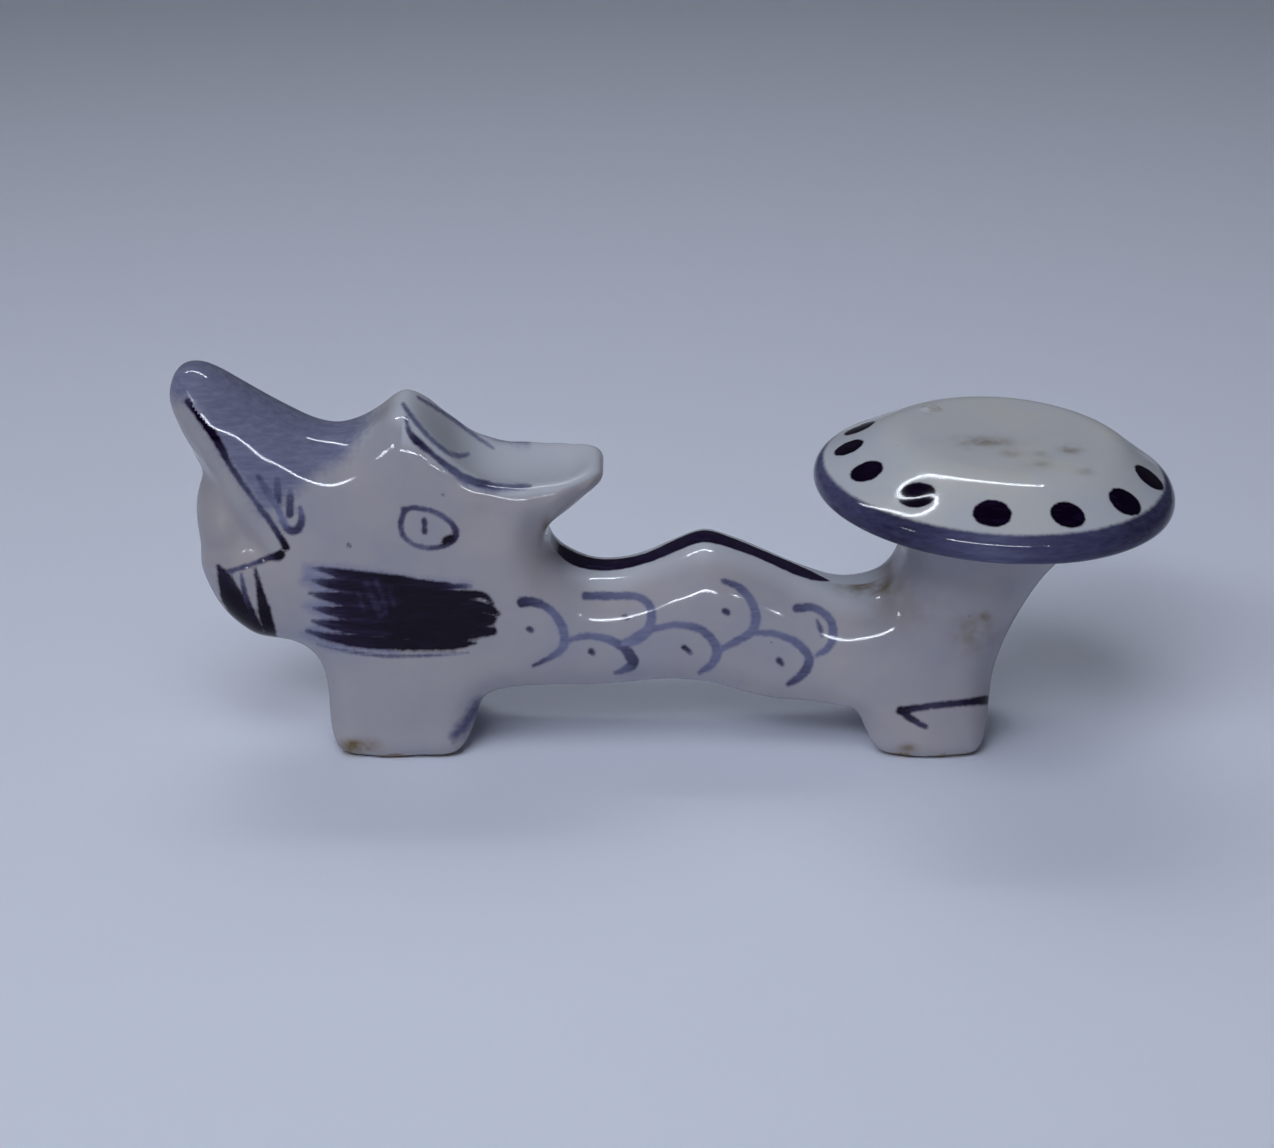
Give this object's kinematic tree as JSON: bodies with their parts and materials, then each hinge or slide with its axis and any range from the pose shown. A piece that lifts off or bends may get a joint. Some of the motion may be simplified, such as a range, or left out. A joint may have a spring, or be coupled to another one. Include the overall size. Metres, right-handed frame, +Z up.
{
  "type": "chopstick rest",
  "caption": "Free-standing glazed porcelain rest shaped as a small scaly beast: chopsticks lie across its saddled back, a spoon rests on its round tail disc.",
  "frame": {"origin": "under the middle of the whole length, on the plane that the feet stand on", "axes": "+X from the snout towards the spoon disc, +Y across the back, +Z up"},
  "size_m": [0.0974, 0.0354, 0.0388],
  "materials": {
    "porcelain": "clear gloss glaze over pale grey-white porcelain, brush-painted in cobalt blue",
    "washed_porcelain": "clear gloss glaze over a thin cobalt wash"
  },
  "bodies": {
    "root": {"upper_jaw": "washed_porcelain", "lower_jaw": "porcelain", "mouth_web": "porcelain", "head": "porcelain", "crest": "porcelain", "trunk": "porcelain", "front_foot": "porcelain", "rear_foot": "porcelain", "tail_stem": "porcelain", "tail_disc": "porcelain"}
  },
  "joints": []
}
